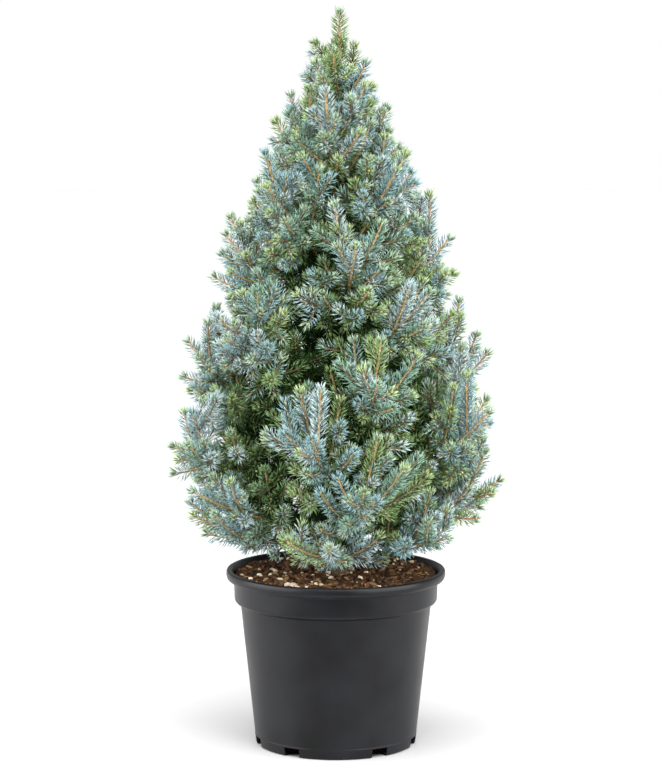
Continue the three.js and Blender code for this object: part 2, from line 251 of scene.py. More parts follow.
def branches(seed):
    """Every branch: its limb, if it has one, and the stem that goes on from it."""
    found = []
    for whorl in WHORLS:
        for k in range(whorl["count"]):
            random = random_from(seed * 1000 + len(found) + 1)
            controls = branch_points(whorl, k, random)
            length = path_length(curve_points(controls, 0, 1, LENGTH_STEPS))
            share = whorl["limb"]
            limb = curve_points(controls, 0, share, LIMB["steps"]) if share else None
            start = share + CLEARANCE / length if share else 0
            stem = curve_points(controls, start, 1, nearest(length * (1 - start) / WHORL_STEP["branch"]))
            smooth = curve_points(controls, 0, 1, SMOOTH_STEPS)
            found.append(branch_of(stem, smooth, random, SHOOT, limb, share))
    foot = trunk_axis(TRUNK["top"] + CLEARANCE)
    tip = np.array([TRUNK["lean"], 0, CROWN["top"] - CROWN["rind"]])
    steps = nearest(np.linalg.norm(tip - foot) / WHORL_STEP["top"])
    stem = foot + (tip - foot) * np.linspace(0, 1, steps + 1)[:, None]
    rule = {**SHOOT, "spread": SHOOT["top_spread"], "last": SHOOT["top_last"]}
    found.append(branch_of(stem, stem, random_from(seed), rule))
    return found


class Room:
    """Stretches of everything grown so far, and how far points are from each."""

    def __init__(self):
        self.start = np.empty((0, 3))
        self.run = np.empty((0, 3))
        self.tag = np.empty(0)

    def add(self, path, tag):
        self.start = np.vstack([self.start, path[:-1]])
        self.run = np.vstack([self.run, np.diff(path, axis=0)])
        self.tag = np.append(self.tag, np.full(len(path) - 1, tag))

    def distances(self, points, reach=math.inf):
        """Tags of the stretches that start within reach, and a row of distances from them for each point."""
        close = np.all((self.start > points.min(0) - reach) & (self.start < points.max(0) + reach), axis=1)
        run = self.run[close]
        away = points[:, None] - self.start[close]
        share = np.clip((away * run).sum(2) / (run**2).sum(1), 0, 1)
        return self.tag[close], np.linalg.norm(away - run * share[..., None], axis=2)


def side_shoots(stem, random, rule):
    """Side shoots of one stem, as paths, before any is dropped for want of room."""
    length = path_length(stem)
    frames = frames_along(stem)
    first = 360 * random()

    def varied(size):
        return size * (1 + rule["vary"] * (2 * random() - 1))

    paths = []
    for k in range(math.floor((rule["last"] * length - rule["start"]) / rule["step"]) + 1):
        at = (rule["start"] + rule["step"] * k) / length
        point, along, side, across = frames[nearest(at * (len(stem) - 1))]
        angle = math.radians(varied(rule["spread"]))
        roll = math.radians(first + GOLDEN_TURN * k)
        out = side * math.cos(roll) + across * math.sin(roll)
        heading = along * math.cos(angle) + out * math.sin(angle)
        long = min(varied(length * (1 - at) * rule["reach"] + rule["extra"]), rule["longest"])
        steps = max(2, nearest((long - rule["bare"]) / rule["ring"]))
        runs = np.append(0, np.linspace(rule["bare"], long, steps + 1))[:, None]
        paths.append(point + heading * runs + UP * (rule["rise"] * runs**2 / long))
    return paths


def room_for(path, owner, room, limbs, rule, apart, shortest):
    """The longest part of a path, from its root, that keeps inside the crown and clear of all else."""
    points = path[1:]
    reach = crown_radius(points[:, 2])
    size = np.clip(reach / FULL_SIZE_RADIUS, rule["least"], 1)
    far = apart * size
    near = np.minimum(far, rule["fan"] * np.linalg.norm(points - path[0], axis=1))
    free = (
        (from_axis(points) < rule["within"] * reach - CROWN["rind"])
        & (points[:, 2] < CROWN["top"] - CROWN["rind"])
        & (points[:, 2] > lowest_at(points) + rule["from_ground"])
    )
    if not free[0]:
        return None
    thick, gaps = limbs.distances(points)
    off_limbs = np.all(gaps > thick + rule["from_limb"], axis=1)
    off_limbs[0] = True
    tags, gaps = room.distances(points, apart + LONGEST_STRETCH)
    free &= off_limbs & np.all(gaps > np.where(tags == owner, near[:, None], far[:, None]), axis=1)
    kept = len(points) if free.all() else int(np.argmin(free))
    if kept == 0:
        return None
    path = path[: kept + 1]
    outside = from_axis(path[-1]) > rule["outer"] * reach[kept - 1]
    return path if outside and path_length(path) >= shortest * size[kept - 1] else None


def grow(buds, room, limbs, rule, shoots, order):
    """Adds the buds that find room, the wide-spaced long ones first."""
    grown = set()
    for apart, shortest in rule["passes"]:
        for number, (owner, path) in enumerate(buds):
            if number in grown:
                continue
            kept = room_for(path, owner, room, limbs, rule, apart, shortest)
            if kept is None:
                continue
            grown.add(number)
            room.add(kept, owner)
            shoots.append({"owner": owner, "path": kept, "order": order})


def by_rank(listed):
    """Buds of all stems, first ones first."""
    ranked = [(rank, owner, path) for owner, paths in listed for rank, path in enumerate(paths)]
    ranked.sort(key=lambda bud: bud[0])
    return [(owner, path) for _, owner, path in ranked]


def runs_along(path):
    """How far along a path each of its points is."""
    return np.append(0, np.cumsum(np.linalg.norm(np.diff(path, axis=0), axis=1)))


def resampled(path, step):
    """A smooth path through the points of a coarse one."""
    runs = runs_along(path)
    count = max(3, nearest(runs[-1] / step) + 1)
    at = np.linspace(0, runs[-1], count)
    slopes = np.gradient(path, runs, axis=0)
    i = np.clip(np.searchsorted(runs, at, side="right") - 1, 0, len(runs) - 2)
    width = (runs[i + 1] - runs[i])[:, None]
    t = (at - runs[i])[:, None] / width
    return (
        (2 * t**3 - 3 * t**2 + 1) * path[i]
        + (t**3 - 2 * t**2 + t) * width * slopes[i]
        + (3 * t**2 - 2 * t**3) * path[i + 1]
        + (t**3 - t**2) * width * slopes[i + 1]
    )


def fine_buds(bearers, rule, top, seed):
    """Buds of finer twigs, each an owner and a path; the top shoot bears them over a share of its own."""
    listed = []
    for number, (owner, path) in enumerate(bearers):
        own_rule = {**rule, "last": rule["top_last"]} if owner == top else rule
        listed.append((owner, side_shoots(resampled(path, BUD_STEP), random_from(seed + number), own_rule)))
    return by_rank(listed)


@lru_cache(maxsize=2)
def crown_growth(seed):
    """All branches, and all shoots: stems are order 0, the source's side shoots 1, finer twigs 2 and 3."""
    grown = branches(seed)
    stem = np.array([trunk_axis(trunk_height(i / TRUNK["steps"])) for i in range(TRUNK["steps"] + 1)])
    boughs = [branch["limb"] for branch in grown if branch["limb"] is not None]
    limbs = Room()
    limbs.add(stem, TRUNK["foot"])
    for bough in boughs:
        limbs.add(bough, LIMB["thick"])
    room = Room()
    shoots = []
    listed = []
    for owner, branch in enumerate(grown):
        room.add(branch["stem"], owner)
        shoots.append({"owner": owner, "path": branch["stem"], "order": 0})
        listed.append((owner, side_shoots(branch["stem"], branch["random"], branch["rule"])))
    grow(by_rank(listed), room, limbs, SHOOT, shoots, 1)
    top = len(grown) - 1
    no_owner = -1
    wood = [(no_owner, path) for path in (stem, *boughs)]
    for order, rule, first, bearers in ((2, TWIG, TWIG_SEED, []), (3, INNER, INNER_SEED, wood)):
        bearers = bearers + [(shoot["owner"], shoot["path"]) for shoot in shoots]
        grow(fine_buds(bearers, rule, top, seed * first), room, limbs, rule, shoots, order)
    return grown, shoots


# Meshes from arrays
def placed(name, data):
    """A new object in the scene."""
    thing = bpy.data.objects.new(name, data)
    bpy.context.scene.collection.objects.link(thing)
    return thing


def add_object(name, mesh, replaced=()):
    """A piece of the plant that rides on the part's one body."""
    piece = placed(name, mesh)
    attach(piece, ROOT)
    if replaced:
        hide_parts(*replaced)
    return piece


def faced_mesh(name, places, faces):
    """A mesh from places in millimetres and faces of any number of corners."""
    mesh = bpy.data.meshes.new(name)
    mesh.from_pydata((places * MM).tolist(), [], faces)
    return mesh


def add_mesh(name, places, triangles, material, slot, replaced=()):
    """A smooth piece from places in millimetres and rows of three corners."""
    mesh = bpy.data.meshes.new(name)
    mesh.vertices.add(len(places))
    mesh.vertices.foreach_set("co", (places * MM).astype(np.float32).ravel())
    mesh.loops.add(3 * len(triangles))
    mesh.loops.foreach_set("vertex_index", triangles.astype(np.int32).ravel())
    mesh.polygons.add(len(triangles))
    mesh.polygons.foreach_set("loop_start", np.arange(0, 3 * len(triangles), 3, dtype=np.int32))
    mesh.update(calc_edges=True)
    mesh.validate()
    mesh.shade_smooth()
    mesh.materials.append(material)
    return add_object(name, mesh, replaced)


def joined(parts):
    """Several lots of places and triangles as one."""
    places = []
    triangles = []
    total = 0
    for part_places, part_triangles in parts:
        places.append(part_places)
        triangles.append(part_triangles + total)
        total += len(part_places)
    return np.vstack(places), np.vstack(triangles)


def tube(points, radii, sides, relief=None):
    """A round limb along a path, closed at both ends."""
    frames = frames_along(points)
    turns = turns_of(sides)
    rings = []
    for i, (point, _, side, across) in enumerate(frames):
        out = np.cos(turns)[:, None] * side + np.sin(turns)[:, None] * across
        radius = np.full(sides, radii[i]) if relief is None else radii[i] * relief(point + out * radii[i])
        rings.append(point + out * radius[:, None])
    last = len(points) - 1
    places = np.vstack(rings + [points[:1], points[-1:]])
    ring, j = np.meshgrid(np.arange(last), np.arange(sides), indexing="ij")
    a = (ring * sides + j).ravel()
    b = (ring * sides + (j + 1) % sides).ravel()
    walls = np.vstack([np.column_stack([a, b, b + sides]), np.column_stack([a, b + sides, a + sides])])
    j = np.arange(sides)
    foot, tip = sides * (last + 1), sides * (last + 1) + 1
    after = (j + 1) % sides
    ends = np.vstack([
        np.column_stack([np.full(sides, foot), after, j]),
        np.column_stack([np.full(sides, tip), last * sides + j, last * sides + after]),
    ])
    return places, np.vstack([walls, ends])


# Shared shader groups
def tint_group(name, colours, build):
    """A node group, made once, that gives a colour and a mask from named colours and the scale of a noise."""
    group = bpy.data.node_groups.get(name)
    if group:
        return group
    group = bpy.data.node_groups.new(name, "ShaderNodeTree")
    for label in colours:
        group.interface.new_socket(label, in_out="INPUT", socket_type="NodeSocketColor")
    group.interface.new_socket("Scale", in_out="INPUT", socket_type="NodeSocketFloat")
    group.interface.new_socket("Color", in_out="OUTPUT", socket_type="NodeSocketColor")
    group.interface.new_socket("Mask", in_out="OUTPUT", socket_type="NodeSocketFloat")
    into = group.nodes.new("NodeGroupInput").outputs
    out = group.nodes.new("NodeGroupOutput").inputs
    build(group.nodes, group.links.new, into, out)
    return group


def mixed(nodes, link, share, first, second):
    """Output socket of a mix of two colours."""
    mix = nodes.new("ShaderNodeMix")
    mix.data_type = "RGBA"
    link(share, mix.inputs[0])
    link(first, mix.inputs[6])
    link(second, mix.inputs[7])
    return mix.outputs[2]


def spread_over(nodes, link, value, between, onto=(0, 1)):
    """Output socket of a value stretched from one range onto another."""
    stretch = nodes.new("ShaderNodeMapRange")
    link(value, stretch.inputs["Value"])
    for label, end in zip(("From Min", "From Max", "To Min", "To Max"), (*between, *onto)):
        stretch.inputs[label].default_value = end
    return stretch.outputs["Result"]


def noise_over(nodes, link, scale, detail):
    """Output socket of soft noise over a piece, at a scale that is a socket or a number."""
    texture = nodes.new("ShaderNodeTexNoise")
    texture.inputs["Detail"].default_value = detail
    link(nodes.new("ShaderNodeTexCoord").outputs["Object"], texture.inputs["Vector"])
    if isinstance(scale, (int, float)):
        texture.inputs["Scale"].default_value = scale
    else:
        link(scale, texture.inputs["Scale"])
    return texture.outputs["Fac"]


def mottle_group():
    """Two colours mixed by soft noise, with a mask of the same noise."""

    def build(nodes, link, into, out):
        mask = spread_over(nodes, link, noise_over(nodes, link, into["Scale"], 5), (0.32, 0.68))
        link(mixed(nodes, link, mask, into["Dark"], into["Light"]), out["Color"])
        link(mask, out["Mask"])

    return tint_group("mottle", ("Dark", "Light"), build)


def each_its_own_group():
    """A tint that differs from needle to needle and chip to chip, with soft noise over it."""

    def build(nodes, link, into, out):
        own = nodes.new("ShaderNodeNewGeometry").outputs["Random Per Island"]
        first = mixed(nodes, link, own, into["Dark"], into["Light"])
        blotch = spread_over(nodes, link, noise_over(nodes, link, into["Scale"], 2), (0.45, 0.75))
        link(mixed(nodes, link, blotch, first, into["Bloom"]), out["Color"])
        link(own, out["Mask"])

    return tint_group("each_its_own", ("Dark", "Light", "Bloom"), build)


def surface(name, group, values, roughness, bump=None, specular=0.5):
    """A material whose colour comes from a shared group, with its own roughness and fine relief."""
    material = bpy.data.materials.new(name)
    material.use_nodes = True
    nodes = material.node_tree.nodes
    link = material.node_tree.links.new
    shader = nodes["Principled BSDF"]
    tint = nodes.new("ShaderNodeGroup")
    tint.node_tree = group
    for label, value in values.items():
        tint.inputs[label].default_value = value
    link(tint.outputs["Color"], shader.inputs["Base Color"])
    link(spread_over(nodes, link, tint.outputs["Mask"], (0, 1), roughness), shader.inputs["Roughness"])
    shader.inputs["Specular IOR Level"].default_value = specular
    if bump:
        scale, depth = bump
        height = nodes.new("ShaderNodeBump")
        height.inputs["Distance"].default_value = depth * MM
        height.inputs["Strength"].default_value = 1.0
        link(noise_over(nodes, link, scale, 4), height.inputs["Height"])
        link(height.outputs["Normal"], shader.inputs["Normal"])
    return material


def mottled(name, dark, light, scale, roughness, **finish):
    """A material of two colours mixed by soft noise."""
    values = {"Dark": dark, "Light": light, "Scale": scale}
    return surface(name, mottle_group(), values, roughness, **finish)


def assorted(name, dark, light, bloom, scale, roughness, **finish):
    """A material for many small things that differ in tint."""
    values = {"Dark": dark, "Light": light, "Bloom": bloom, "Scale": scale}
    return surface(name, each_its_own_group(), values, roughness, **finish)


def opaque(colour, gain=1.0):
    return (*[min(part * gain, 1.0) for part in colour], 1.0)


def tints(colour, gains):
    return [opaque(colour, gain) for gain in gains]


# Sizes and colours that a user would change
def tone(name, description, default):
    return bpy.props.FloatVectorProperty(
        name=name, description=description, subtype="COLOR", size=3, min=0, max=1, default=default
    )


def span(name, description, default):
    return bpy.props.FloatProperty(
        name=name, description=description, subtype="DISTANCE", unit="LENGTH", min=0, default=default
    )


def whole(name, description, default, least=0):
    return bpy.props.IntProperty(name=name, description=description, min=least, default=default)


def amount(name, description, default, least=0):
    return bpy.props.FloatProperty(name=name, description=description, min=least, default=default)


class SprucePotSettings(bpy.types.PropertyGroup):
    """Nursery pot"""

    black: tone("Black", "Colour of the moulded plastic", (0.0005, 0.0006, 0.0011))
    grey: tone("Grey", "Colour of its faint scuffs", (0.005, 0.0054, 0.0075))
    segments: whole("Segments", "Facets round the pot", 192, 24)


class SpruceBedSettings(bpy.types.PropertyGroup):
    """Growing medium"""

    peat: tone("Peat", "Colour of the fine dark stuff", (0.016, 0.008, 0.004))
    bark: tone("Bark", "Colour of the bark crumbs", (0.15, 0.07, 0.03))
    wood: tone("Wood", "Colour of the pale wood chips", (0.46, 0.27, 0.12))
    grit: tone("Grit", "Colour of the cream grains", (0.88, 0.74, 0.55))
    crumbs: whole("Crumbs", "Bark crumbs on the surface", 1700)
    chips: whole("Chips", "Pale wood chips on the surface", 330)
    grains: whole("Grains", "Cream grains on the surface", 85)


class SpruceCrownSettings(bpy.types.PropertyGroup):
    """Stem, twigs and needles"""

    seed: whole("Seed", "Picks one plant; the solids were grown with 45", 45)
    needle_length: span("Needle length", "Length of a full needle", 10.8 * MM)
    needle_width: span("Needle width", "Width of a needle", 1.05 * MM)
    needles_per_cm: amount("Needles", "Needles on a centimetre of shoot", 26, 1)
    blue: tone("Blue", "Needles with a blue bloom", (0.246, 0.384, 0.396))
    silver: tone("Silver", "Needles with a thick pale bloom", (0.392, 0.5, 0.508))
    teal: tone("Teal", "Needles between blue and green", (0.22, 0.36, 0.275))
    green: tone("Green", "Outer needles without bloom", (0.258, 0.36, 0.15))
    old: tone("Old", "Older needles that have lost their bloom", (0.165, 0.266, 0.1))
    # The shade colour is painted shade: needles deep in the crown are darkened to stand for the shade there
    shade: tone("Shade", "Needles deep in the crown", (0.026, 0.062, 0.018))
    fresh: tone("Fresh", "Needles below the shoot tips", (0.32, 0.43, 0.3))
    young: tone("Young", "Soft needles at the very tips", (0.355, 0.46, 0.22))
    twig: tone("Twig", "Bark of the year's twigs", (0.52, 0.335, 0.135))
    old_bark: tone("Old bark", "Bark of stem and boughs", (0.085, 0.055, 0.034))


class SpruceStageSettings(bpy.types.PropertyGroup):
    """Floor, light and camera"""

    floor: tone("Floor", "Colour of the floor", (0.55, 0.55, 0.55))
    sky: amount("Surround", "Strength of the white surround", 0.5)
    key: amount("Key", "Strength of the large light above", 3.1)
    panels: amount("Panels", "Watts of each panel at the sides", 34)
    distance: span("Camera distance", "From the pot's axis to the camera", 2.4)
    height: span("Camera height", "From the floor to the camera", 0.608)


# Pot
POT_SHARP = math.radians(40)


def rounded(corners, steps=5):
    """A profile whose corners, each a radius, a height and a rounding, are turned into short arcs."""
    profile = []
    for i, (radius, z, rounding) in enumerate(corners):
        here = np.array([radius, z], dtype=float)
        if not rounding or i in (0, len(corners) - 1):
            profile.append(here)
            continue
        before = np.array(corners[i - 1][:2]) - here
        after = np.array(corners[i + 1][:2]) - here
        reach = min(rounding, 0.45 * np.linalg.norm(before), 0.45 * np.linalg.norm(after))
        start = here + unit(before) * reach
        end = here + unit(after) * reach
        for t in np.linspace(0, 1, steps):
            profile.append((1 - t) ** 2 * start + 2 * (1 - t) * t * here + t**2 * end)
    return np.array(profile)


def turned(profile, segments):
    """A closed mesh from a profile that starts and ends on the axis."""
    inner = profile[1:-1]
    turns = turns_of(segments)
    rings = np.array([[(r * math.cos(a), r * math.sin(a), z) for a in turns] for r, z in inner])
    places = np.vstack([rings.reshape(-1, 3), [(0, 0, profile[0][1]), (0, 0, profile[-1][1])]])
    first, last = len(places) - 2, len(places) - 1
    faces = []
    for j in range(segments):
        k = (j + 1) % segments
        faces.append((first, k, j))
        for i in range(len(inner) - 1):
            faces.append((i * segments + j, i * segments + k, (i + 1) * segments + k, (i + 1) * segments + j))
        end = (len(inner) - 1) * segments
        faces.append((last, end + j, end + k))
    return places, faces


def inner_face(clearance):
    """The pot's inside from below the lip to the middle of its floor."""
    face = (
        (NECK, POT["height"] - POT["rim_depth"], 1.5),
        (NECK, POT["collar_foot"] + 9.6, 3),
        (POT["body_radius"] - POT["wall"], POT["collar_foot"] + POT["wall"], 3),
        (POT["foot_radius"] - POT["wall"], POT["floor"], 2),
    )
    low = POT["floor"] + clearance
    return [(r - clearance, max(z, low), rounding) for r, z, rounding in face] + [(0, low, 0)]


def cut_away(piece, boxes):
    """Cuts boxes, each a middle, a size and a turn in degrees, out of a piece."""
    places, faces = [], []
    for middle, size, turn in boxes:
        total = len(places)
        for x in (-0.5, 0.5):
            for y in (-0.5, 0.5):
                for z in (-0.5, 0.5):
                    corner = np.array(middle) + np.array(size) * (x, y, z)
                    c, s = math.cos(math.radians(turn)), math.sin(math.radians(turn))
                    places.append((corner[0] * c - corner[1] * s, corner[0] * s + corner[1] * c, corner[2]))
        for face in ((0, 1, 3, 2), (4, 6, 7, 5), (0, 4, 5, 1), (2, 3, 7, 6), (0, 2, 6, 4), (1, 5, 7, 3)):
            faces.append([total + corner for corner in face])
    cutter = placed("notch_cutters", faced_mesh("notch_cutters", np.array(places), faces))
    notch = piece.modifiers.new("drain_notches", "BOOLEAN")
    notch.operation = "DIFFERENCE"
    notch.solver = "EXACT"
    notch.object = cutter
    shaped = bpy.data.meshes.new_from_object(piece.evaluated_get(bpy.context.evaluated_depsgraph_get()))
    piece.modifiers.clear()
    piece.data = shaped
    bpy.data.objects.remove(cutter)


def pot_material(settings):
    black, grey = opaque(settings.black), opaque(settings.grey)
    return mottled("black_plastic", black, grey, 26.0, (0.33, 0.43), bump=(1400, 0.02), specular=0.27)


class SPRUCE_OT_pot(bpy.types.Operator):
    """Nursery pot with a rolled lip, a collar and drain notches"""

    bl_idname = "spruce.pot"
    bl_label = "Pot"

    def execute(self, context):
        settings = context.scene.spruce_pot
        lip = POT["height"] - POT["rim_depth"]
        corners = [
            (0, 0, 0),
            (POT["foot_radius"], 0, 2.4),
            (POT["foot_radius"] + 1.05, NOTCH["height"] + 0.8, 0.5),
            (POT["foot_radius"] + 0.9, NOTCH["height"] + 1.6, 0.5),
            (POT["body_radius"], POT["collar_foot"], 1.0),
            (POT["collar_radius"] - 0.6, POT["collar_foot"] + 2.6, 2.2),
            (POT["collar_radius"], lip - 0.4, 1.2),
            (POT["rim_radius"] - 1.2, lip + 0.6, 1.6),
            (POT["rim_radius"], lip + 4, 2.0),
            (POT["rim_radius"] - 0.4, POT["height"], 3.0),
            (POT["rim_radius"] - POT["rim_width"], POT["height"], 1.6),
        ] + inner_face(0)
        mesh = faced_mesh("pot_shell", *turned(rounded(corners), settings.segments))
        piece = add_object("pot_shell", mesh, ("pot",))
        middle = (0, -POT["foot_radius"], 0)
        size = (NOTCH["width"], 2 * NOTCH["depth"], 2 * NOTCH["height"])
        boxes = []
        for angle in NOTCH["angles"]:
            for turn in (angle, -angle, 180 + angle, 180 - angle):
                boxes.append((middle, size, turn))
        cut_away(piece, boxes)
        piece.data.shade_smooth()
        piece.data.set_sharp_from_angle(angle=POT_SHARP)
        piece.data.materials.clear()
        piece.data.materials.append(pot_material(settings))
        return {"FINISHED"}


# Growing medium
BED_EDGE = 4
BED_MESH = {"segments": 120, "rings": 44, "middle": 3, "seed": 5}
LUMPS = {"height": 1.5, "scale": 0.085, "slice": 3.7, "fading": 0.9, "ratio": 2.1, "octaves": 4}
STREWN = {"from_stem": 9, "from_wall": 0.6, "overhang": 0.6, "flat": 0.7, "rough": 0.28, "pitch": 0.5}
LUMP_SHARP = math.radians(30)
LUMP_BLOTCH = 0.45


def bed_height(x, y):
    """Height of the lumpy surface at a place."""
    share = clamp((NECK - math.hypot(x, y)) / (NECK - BED["seat"]), 0, 1)
    at = Vector((x, y, LUMPS["slice"])) * LUMPS["scale"]
    lumps = noise.fractal(at, LUMPS["fading"], LUMPS["ratio"], LUMPS["octaves"])
    return POT["height"] - BED["below"] + lerp(BED_EDGE, BED["mound"], share) + LUMPS["height"] * lumps


# A lump of twelve corners and twenty faces
GOLDEN = (1 + math.sqrt(5)) / 2
LUMP_PLACES = unit(np.array([
    (-1, GOLDEN, 0), (1, GOLDEN, 0), (-1, -GOLDEN, 0), (1, -GOLDEN, 0),
    (0, -1, GOLDEN), (0, 1, GOLDEN), (0, -1, -GOLDEN), (0, 1, -GOLDEN),
    (GOLDEN, 0, -1), (GOLDEN, 0, 1), (-GOLDEN, 0, -1), (-GOLDEN, 0, 1),
]))
LUMP_FACES = np.array([
    (0, 11, 5), (0, 5, 1), (0, 1, 7), (0, 7, 10), (0, 10, 11),
    (1, 5, 9), (5, 11, 4), (11, 10, 2), (10, 7, 6), (7, 1, 8),
    (3, 9, 4), (3, 4, 2), (3, 2, 6), (3, 6, 8), (3, 8, 9),
    (4, 9, 5), (2, 4, 11), (6, 2, 10), (8, 6, 7), (9, 8, 1),
])


def scattered(random, count, lengths, slim, sink):
    """Rough lumps strewn over the bed."""
    parts = []
    for _ in range(count):
        long = lengths[0] + (lengths[1] - lengths[0]) * random.random() ** 2
        furthest = NECK - STREWN["overhang"] * long - STREWN["from_wall"]
        radius = math.sqrt(random.uniform(STREWN["from_stem"] ** 2, furthest**2))
        turn = random.uniform(0, 2 * math.pi)
        x, y = radius * math.cos(turn), radius * math.sin(turn)
        size = 0.5 * long * np.array([1, random.uniform(*slim), random.uniform(*slim) * STREWN["flat"]])
        rough = random.uniform(-STREWN["rough"], STREWN["rough"], (len(LUMP_PLACES), 1))
        places = LUMP_PLACES * (1 + rough) * size
        yaw, pitch = random.uniform(0, 2 * math.pi), random.uniform(-STREWN["pitch"], STREWN["pitch"])
        cp, sp = math.cos(pitch), math.sin(pitch)
        cy, sy = math.cos(yaw), math.sin(yaw)
        tilt = np.array([(cp, 0, -sp), (0, 1, 0), (sp, 0, cp)])
        spin = np.array([(cy, sy, 0), (-sy, cy, 0), (0, 0, 1)])
        parts.append((places @ tilt @ spin + (x, y, bed_height(x, y) + sink * size[2]), LUMP_FACES))
    return joined(parts)


class SPRUCE_OT_bed(bpy.types.Operator):
    """Growing medium: a lumpy bed of peat, with bark crumbs, wood chips and cream grains on it"""

    bl_idname = "spruce.bed"
    bl_label = "Growing medium"

    def execute(self, context):
        settings = context.scene.spruce_bed
        wall = inner_face(CLEARANCE)[::-1]
        edge = POT["height"] - BED["below"]
        profile = [(r, z) for r, z, _ in wall if z < edge]
        rings = np.linspace(NECK - CLEARANCE, BED_MESH["middle"], BED_MESH["rings"])
        profile += [(r, edge) for r in rings] + [(0, edge)]
        places, faces = turned(np.array(profile), BED_MESH["segments"])
        for place in places:
            if place[2] == edge:
                place[2] = bed_height(place[0], place[1])
        mesh = faced_mesh("medium_bed", places, faces)
        mesh.shade_smooth()
        finishes = (
            ("peat", opaque(settings.peat), opaque(settings.bark, 0.7), 0.3),
            # The bed's sides and floor are near-black and without shine: painted shade, so that the drain
            # notches show as dark holes
            ("damp_peat", opaque(settings.peat, 0.08), opaque(settings.peat, 0.25), 0.0),
        )
        for name, dark, light, shine in finishes:
            finish = mottled(name, dark, light, 260.0, (0.85, 0.95), bump=(500, 1.2), specular=shine)
            mesh.materials.append(finish)
        # Faces below the bed's lumpy top take the second finish, the painted shade
        for face in mesh.polygons:
            face.material_index = int(face.center.z < (edge - BED["lump"]) * MM)
        add_object("medium_bed", mesh, ("growing_medium",))
        random = np.random.default_rng(BED_MESH["seed"])
        kinds = (
            ("medium_crumbs", settings.crumbs, (1.8, 8.0), (0.3, 0.8), 0.3, settings.bark, (0.04, 1.2)),
            ("medium_chips", settings.chips, (1.8, 9.0), (0.25, 0.6), 0.7, settings.wood, (0.12, 1.1)),
            ("medium_grains", settings.grains, (2.6, 6.8), (0.6, 0.95), 0.8, settings.grit, (0.7, 1.15)),
        )
        for name, count, lengths, slim, sink, colour, gains in kinds:
            lumps, faces = scattered(random, count, lengths, slim, sink)
            dark, light, bloom = tints(colour, (*gains, LUMP_BLOTCH))
            finish = assorted(name, dark, light, bloom, 300.0, (0.75, 0.95), bump=(900, 0.4), specular=0.2)
            piece = add_mesh(name, lumps, faces, finish, "medium")
            piece.data.set_sharp_from_angle(angle=LUMP_SHARP)
        return {"FINISHED"}


# Stem and boughs
BARK_SCALE = 420.0
STEM_MESH = {"rings": 150, "sides": 20, "below": 2}
LIMB_MESH = {"step": 1.6, "sides": 10, "beyond": 0.05}
PLATES = {"height": 0.1, "across": 0.5, "along": 0.16, "fading": 0.8, "ratio": 2.2, "octaves": 4}
PEGS = {"height": 0.35, "scale": 0.55, "from": 0.25}


def bark_relief(points):
    """Share of the radius at places on the bark: plates, cracks and pegs."""
    shares = []
    for point in points:
        at = Vector(point)
        stretched = Vector((at.x * PLATES["across"], at.y * PLATES["across"], at.z * PLATES["along"]))
        plates = noise.fractal(stretched, PLATES["fading"], PLATES["ratio"], PLATES["octaves"])
        pegs = max(noise.noise(at * PEGS["scale"]) - PEGS["from"], 0)
        shares.append(1 + PLATES["height"] * plates + PEGS["height"] * pegs)
    return np.array(shares)


class SPRUCE_OT_wood(bpy.types.Operator):
    """Stem and boughs with the bark's relief"""

    bl_idname = "spruce.wood"
    bl_label = "Stem and boughs"

    def execute(self, context):
        settings = context.scene.spruce_crown
        grown, _ = crown_growth(settings.seed)
        heights = np.linspace(GROUND - STEM_MESH["below"], TRUNK["top"], STEM_MESH["rings"])
        stem = np.array([trunk_axis(z) for z in heights])
        radii = [trunk_radius(max(z, GROUND)) for z in heights]
        parts = [tube(stem, radii, STEM_MESH["sides"], bark_relief)]
        for branch in grown:
            if branch["limb"] is None:
                continue
            count = int(len(branch["smooth"]) * (branch["share"] + LIMB_MESH["beyond"]))
            path = resampled(branch["smooth"][: count + 1], LIMB_MESH["step"])
            radii = np.linspace(LIMB["thick"], LIMB["thin"], len(path))
            parts.append(tube(path, radii, LIMB_MESH["sides"], bark_relief))
        dark, light = tints(settings.old_bark, (0.55, 1.4))
        material = mottled("old_bark", dark, light, BARK_SCALE, (0.75, 0.92), bump=(900, 0.5))
        add_mesh("stem_and_boughs", *joined(parts), material, "bark", ("trunk", *BOUGHS))
        return {"FINISHED"}


# Twigs, needles and buds
TUFT_REACH = 6
FINE_STEP = 1.5
# For each order of shoot: its piece, its radii at foot and tip, its sides and the step between its rings
TWIG_FORMS = (
    ("twigs_leading", (1.9, 0.85), 6, 4),
    ("twigs_side", (1.15, 0.75), 6, 4),
    ("twigs_fine", (0.85, 0.6), 4, 6),
    ("twigs_fine", (0.8, 0.55), 4, 6),
)
# How dark and how light the bark of each piece is; the fine twigs' bark is far darker, painted shade for the
# crown's inside
TWIG_TINTS = {"twigs_leading": (0.45, 1.2), "twigs_side": (0.4, 1.1), "twigs_fine": (0.14, 0.45)}
BUD = {"runs": (-0.8, 0.8, 2.6), "radii": (0.7, 1.2, 0.15), "sides": 5}


def twig_path(shoot):
    """A shoot's fine path, ended early so that the needles round its tip reach as far as the solids do."""
    path = resampled(shoot["path"], FINE_STEP)
    runs = runs_along(path)
    return path[: max(int(np.searchsorted(runs, runs[-1] - TUFT_REACH)), 2) + 1]


